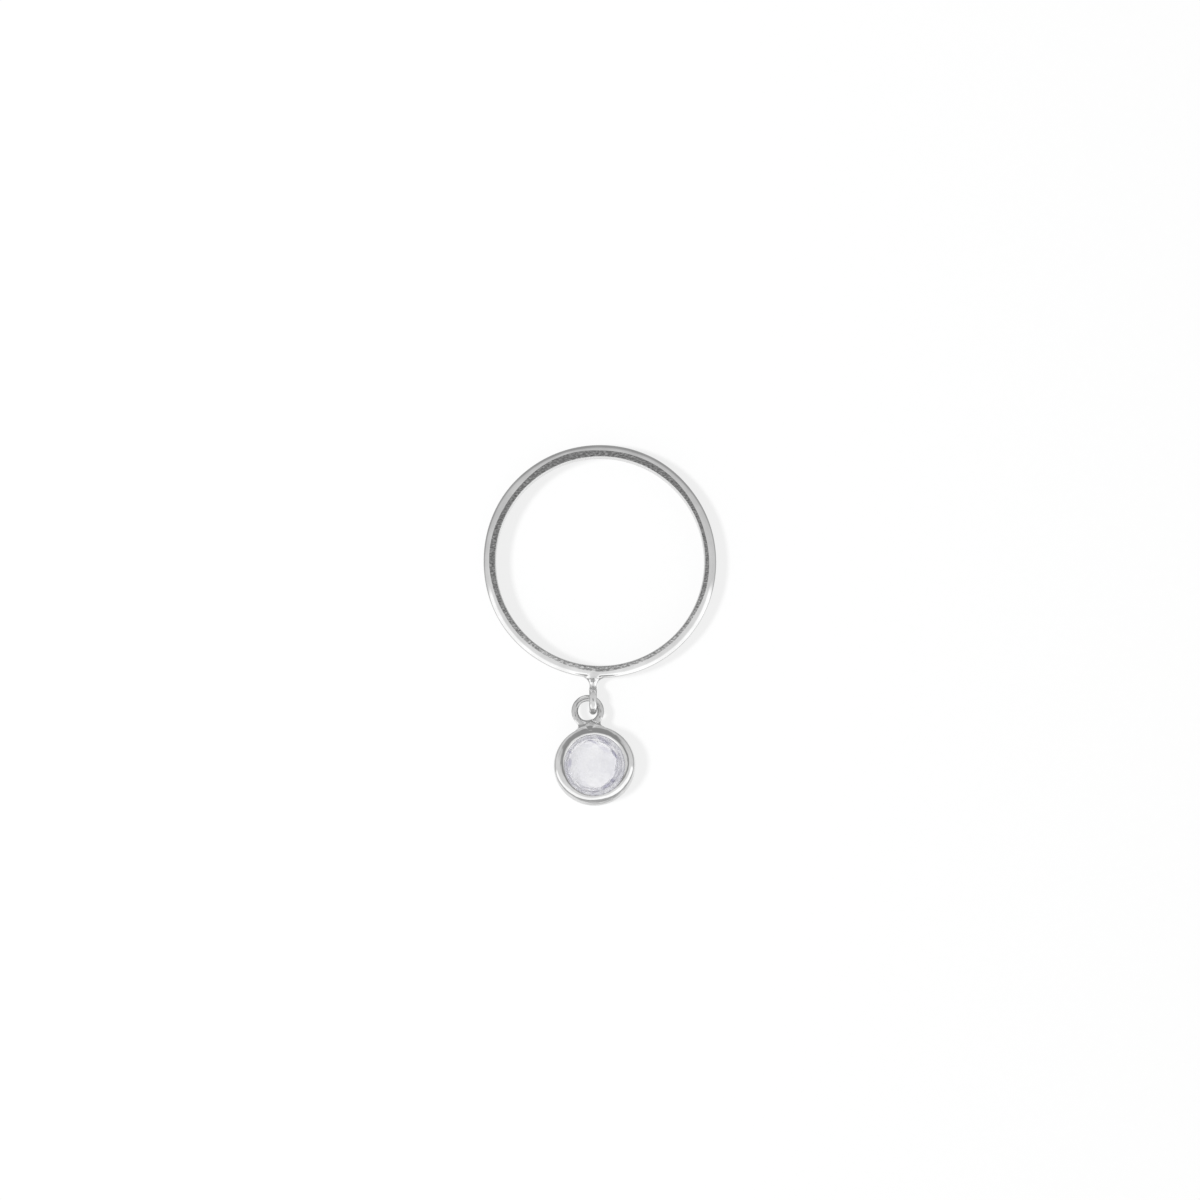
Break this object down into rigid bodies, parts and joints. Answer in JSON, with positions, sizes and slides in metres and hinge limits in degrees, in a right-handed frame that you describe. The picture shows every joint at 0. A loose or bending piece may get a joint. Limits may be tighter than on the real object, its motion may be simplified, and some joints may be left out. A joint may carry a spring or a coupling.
{
  "type": "birthstone charm ring",
  "caption": "Slim silver finger ring with a domed band and a soldered wire loop that carries a small round drop, a clear faceted stone in a rounded bezel.",
  "frame": {"origin": "middle of the finger hole, on its axis", "axes": "+Z along the finger hole's axis, upwards as the ring lies on its side; the drop lies towards -Y"},
  "size_m": [0.0184, 0.0285, 0.0024],
  "materials": {
    "silver": "sterling silver, hand filed on the band's sides and bright polished elsewhere",
    "crystal": "clear rock crystal with a faint violet grey tint, cut and polished in facets"
  },
  "bodies": {
    "root": {"band": "silver", "drop_setting": "silver", "stone": "crystal"}
  },
  "joints": []
}
